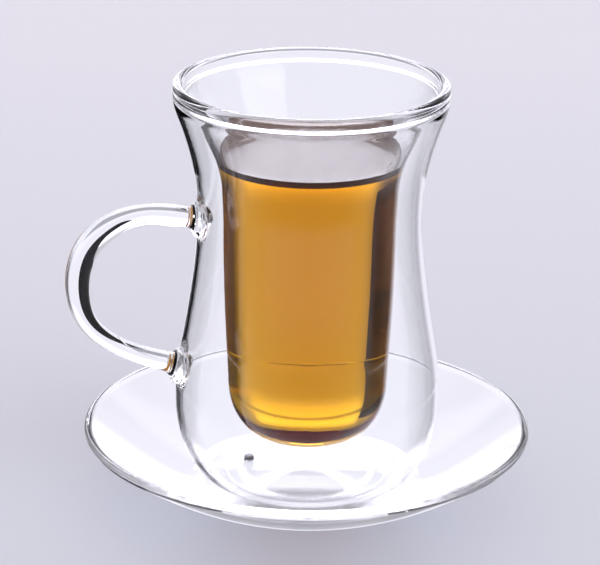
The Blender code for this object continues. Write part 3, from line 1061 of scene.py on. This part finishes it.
def add_floor():
    """A large matte square whose glow grows along the camera's direction, in metres."""
    mesh = bpy.data.meshes.new("floor")
    corners = [(x * FLOOR_HALF, y * FLOOR_HALF, -FLOOR_DROP)
               for x, y in ((-1, -1), (1, -1), (1, 1), (-1, 1))]
    mesh.from_pydata(corners, [], [(0, 1, 2, 3)])
    floor = bpy.data.objects.new("floor", mesh)
    bpy.context.scene.collection.objects.link(floor)
    made, tree, shader = principled("pale_floor")
    place = node(tree, "ShaderNodeTexCoord").outputs["Object"]
    depth = node(tree, "ShaderNodeVectorMath", {0: place, 1: tuple(ahead)},
                 operation="DOT_PRODUCT").outputs["Value"]
    share = node(tree, "ShaderNodeMapRange", {"Value": depth, "From Min": GLOW_GROWS[0],
                                              "From Max": GLOW_GROWS[1]}).outputs["Result"]
    feed(tree, shader, {"Base Color": FLOOR_COLOUR, "Roughness": 0.9, "Specular IOR Level": 0.0,
                        "Emission Color": blend(tree, share, *FLOOR_GLOW), "Emission Strength": 1.0})
    mesh.materials.append(made)
    floor.visible_glossy = False
    floor.visible_transmission = False
    return floor


floor = add_floor()
print("floor", 2 * FLOOR_HALF, "m wide, at", round(-FLOOR_DROP / MM, 2), "mm")

# %% [markdown]
# The room
# --------
# The glass bends and mirrors rays to every side, so what stands around it matters more than what
# is seen straight on: a soft light behind it with a bright strip high up, a window in front, and
# two dark flags out to the sides, which draw the dark lines down the edges of a round glass. A
# third, low flag greys the undersides of base and saucer, as a shaded table would. Lamps and
# cards could do all of this, but where each is mirrored would then depend on its distance. So
# the room is one shader of directions: a turn to the right of straight ahead and a rise above
# level, in degrees. The camera itself sees none of it, only a plain pale background.

# %% Lights and flags by direction
ROOM_COLOUR = (0.965, 0.955, 1.06, 1.0)
BACKGROUND = (0.80, 0.79, 0.89, 1.0)
# turn from, turn to, rise from, rise to, softness, all in degrees, then brightness
LIGHTS = [
    ("low_back_light", -27, 30, -4, 26, 4, 0.32),
    ("upper_back_light", -40, 40, 28, 54, 4, 1.00),
    ("strip_light", -22, 22, 31, 48, 2, 12.0),
    ("horizon_glow", -24, 24, -10, 10, 4, 0.85),
    ("level_glow", -24, 24, 2, 13, 2, 0.50),
    ("front_window", 100, 150, 22, 54, 1, 4.2),
    ("ceiling", -180, 180, 54, 90, 10, 1.3),
    ("arm_glow", -8, 24, -72, -26, 4, 0.10),
    ("front_glow", 118, 180, -25.5, -2, 4, 0.65),
    ("front_glow_left", -180, -118, -25.5, -2, 4, 0.65),
]
# the same, then the share of light that the flag takes away
FLAGS = [
    ("right_flag", 33, 82, -34, -2, 8, 0.97),
    ("left_flag", -66, -26, -30, 0, 8, 0.97),
    ("table_shade", -17, 17, -47, -32.5, 2.2, 0.64),
]
FLOOR_BEHIND = 0.90
FLOOR_IN_FRONT = 0.42
FRONT_TO_BEHIND = (-0.5, 0.35)
ROOM_ABOVE = 0.62
HORIZON_SOFTNESS = 2
# well past straight up, so that the upper half has no upper edge
PAST_THE_TOP = 200
print("room with", len(LIGHTS), "lights and", len(FLAGS), "flags")


# %% The room's shader
def window(tree, value, low, high, soft):
    """One inside low to high, and zero outside, with soft edges, all in degrees."""
    up = node(tree, "ShaderNodeMapRange",
              {"Value": value, "From Min": math.radians(low - soft), "From Max": math.radians(low + soft)},
              interpolation_type="SMOOTHSTEP").outputs["Result"]
    down = node(tree, "ShaderNodeMapRange",
                {"Value": value, "From Min": math.radians(high - soft), "From Max": math.radians(high + soft),
                 "To Min": 1.0, "To Max": 0.0}, interpolation_type="SMOOTHSTEP").outputs["Result"]
    return sum_of(tree, "MULTIPLY", up, down)


def patch(tree, turn, rise, left, right, low, high, soft):
    """One inside a patch of directions, and zero outside."""
    across = window(tree, turn, left, right, soft)
    upright = window(tree, rise, low, high, soft)
    return sum_of(tree, "MULTIPLY", across, upright)


def add_room():
    """The lower half stands for the floor. Flags darken it and lights are added on top."""
    world = bpy.data.worlds.new("room")
    world.use_nodes = True
    tree = world.node_tree
    tree.nodes.clear()
    look = node(tree, "ShaderNodeTexCoord").outputs["Generated"]
    parts = [node(tree, "ShaderNodeVectorMath", {0: look, 1: tuple(axis)},
                  operation="DOT_PRODUCT").outputs["Value"] for axis in (ahead, aside, upward)]
    turn = sum_of(tree, "ARCTAN2", parts[1], parts[0])
    rise = sum_of(tree, "ARCSINE", parts[2])
    above = window(tree, rise, 0, PAST_THE_TOP, HORIZON_SOFTNESS)
    below = sum_of(tree, "SUBTRACT", 1.0, above)
    ground = node(tree, "ShaderNodeMapRange", {
        "Value": parts[0], "From Min": FRONT_TO_BEHIND[0], "From Max": FRONT_TO_BEHIND[1],
        "To Min": FLOOR_IN_FRONT, "To Max": FLOOR_BEHIND}).outputs["Result"]
    level = sum_of(tree, "ADD", sum_of(tree, "MULTIPLY", below, ground),
                   sum_of(tree, "MULTIPLY", above, ROOM_ABOVE))
    for _, *sides, depth in FLAGS:
        dark = sum_of(tree, "MULTIPLY", patch(tree, turn, rise, *sides), depth)
        level = sum_of(tree, "MULTIPLY", level, sum_of(tree, "SUBTRACT", 1.0, dark))
    for _, *sides, strength in LIGHTS:
        light = sum_of(tree, "MULTIPLY", patch(tree, turn, rise, *sides), strength)
        level = sum_of(tree, "ADD", level, light)
    path = node(tree, "ShaderNodeLightPath")
    plain = node(tree, "ShaderNodeBackground", {"Color": BACKGROUND, "Strength": 1.0})
    lit = node(tree, "ShaderNodeBackground", {"Color": ROOM_COLOUR, "Strength": level})
    mixed = node(tree, "ShaderNodeMixShader", {0: path.outputs["Is Camera Ray"], 1: lit.outputs[0],
                                               2: plain.outputs[0]})
    node(tree, "ShaderNodeOutputWorld", {"Surface": mixed.outputs[0]})
    bpy.context.scene.world = world
    return world


room = add_room()
print("room shader with", len(room.node_tree.nodes), "nodes")

# %% [markdown]
# A flag and a panel near the glass
# ---------------------------------
# The handle stands closer to the left edge of the lit area than the bowl does, so it bends more
# of the dark beside it into view. And the still tea mirrors a bright panel that the saucer, being
# lower, doesn't. A shader of directions can't tell such near neighbours apart, so these two are
# flat cards at a true distance. Only mirrored and bent rays can see them.

# %% Dark flag and bright panel
# corners as metres to the right, ahead and up
NEAR_FLAG = [(-0.75, 0.23, -0.24), (-0.091, 0.23, -0.24), (-0.091, 0.23, 0.042), (-0.180, 0.23, 0.068),
             (-0.75, 0.23, 0.078)]
TEA_PANEL = [(-0.050, 0.35, 0.158), (0.050, 0.35, 0.158), (0.050, 0.35, 0.238), (-0.050, 0.35, 0.238)]
CARD_COLOUR = (0.02, 0.02, 0.022, 1.0)
CARD_GLOW = (0.93, 0.935, 1.06, 1.0)


def add_card(name, corners, glow):
    """A flat sheet that only mirrored and bent rays see."""
    mesh = bpy.data.meshes.new(name)
    spots = [aside * x + ahead * y + upward * z for x, y, z in corners]
    mesh.from_pydata(spots, [], [range(len(spots))])
    card = bpy.data.objects.new(name, mesh)
    bpy.context.scene.collection.objects.link(card)
    made, tree, shader = principled(name)
    feed(tree, shader, {"Base Color": CARD_COLOUR, "Roughness": 0.95, "Specular IOR Level": 0.0,
                        "Emission Color": CARD_GLOW, "Emission Strength": glow})
    mesh.materials.append(made)
    card.visible_camera = False
    card.visible_diffuse = False
    card.visible_shadow = False
    return card


for name, corners, glow in (("near_flag", NEAR_FLAG, 0.0), ("tea_panel", TEA_PANEL, 3.75)):
    card = add_card(name, corners, glow)
    print(name, "with", len(corners), "corners and glow", glow)

# %% [markdown]
# Letting light through
# ---------------------
# A ray that goes straight through this glass crosses about twelve surfaces, and one that runs
# along inside a wall meets many more. Where it is cut off, the glass turns black. So the path
# length is raised well above the usual twelve. It costs little time, because few rays go so far.
# Colours are shown plainly, without a film-like curve, so pale glass stays pale.

# %% Render settings that belong to the scene
BOUNCES = {"max_bounces": 96, "transmission_bounces": 96, "glossy_bounces": 24,
           "transparent_max_bounces": 40}
scene = bpy.context.scene
for setting, bounces in BOUNCES.items():
    setattr(scene.cycles, setting, bounces)
scene.view_settings.view_transform = "Standard"
scene.view_settings.look = "None"
print("bounces", BOUNCES)
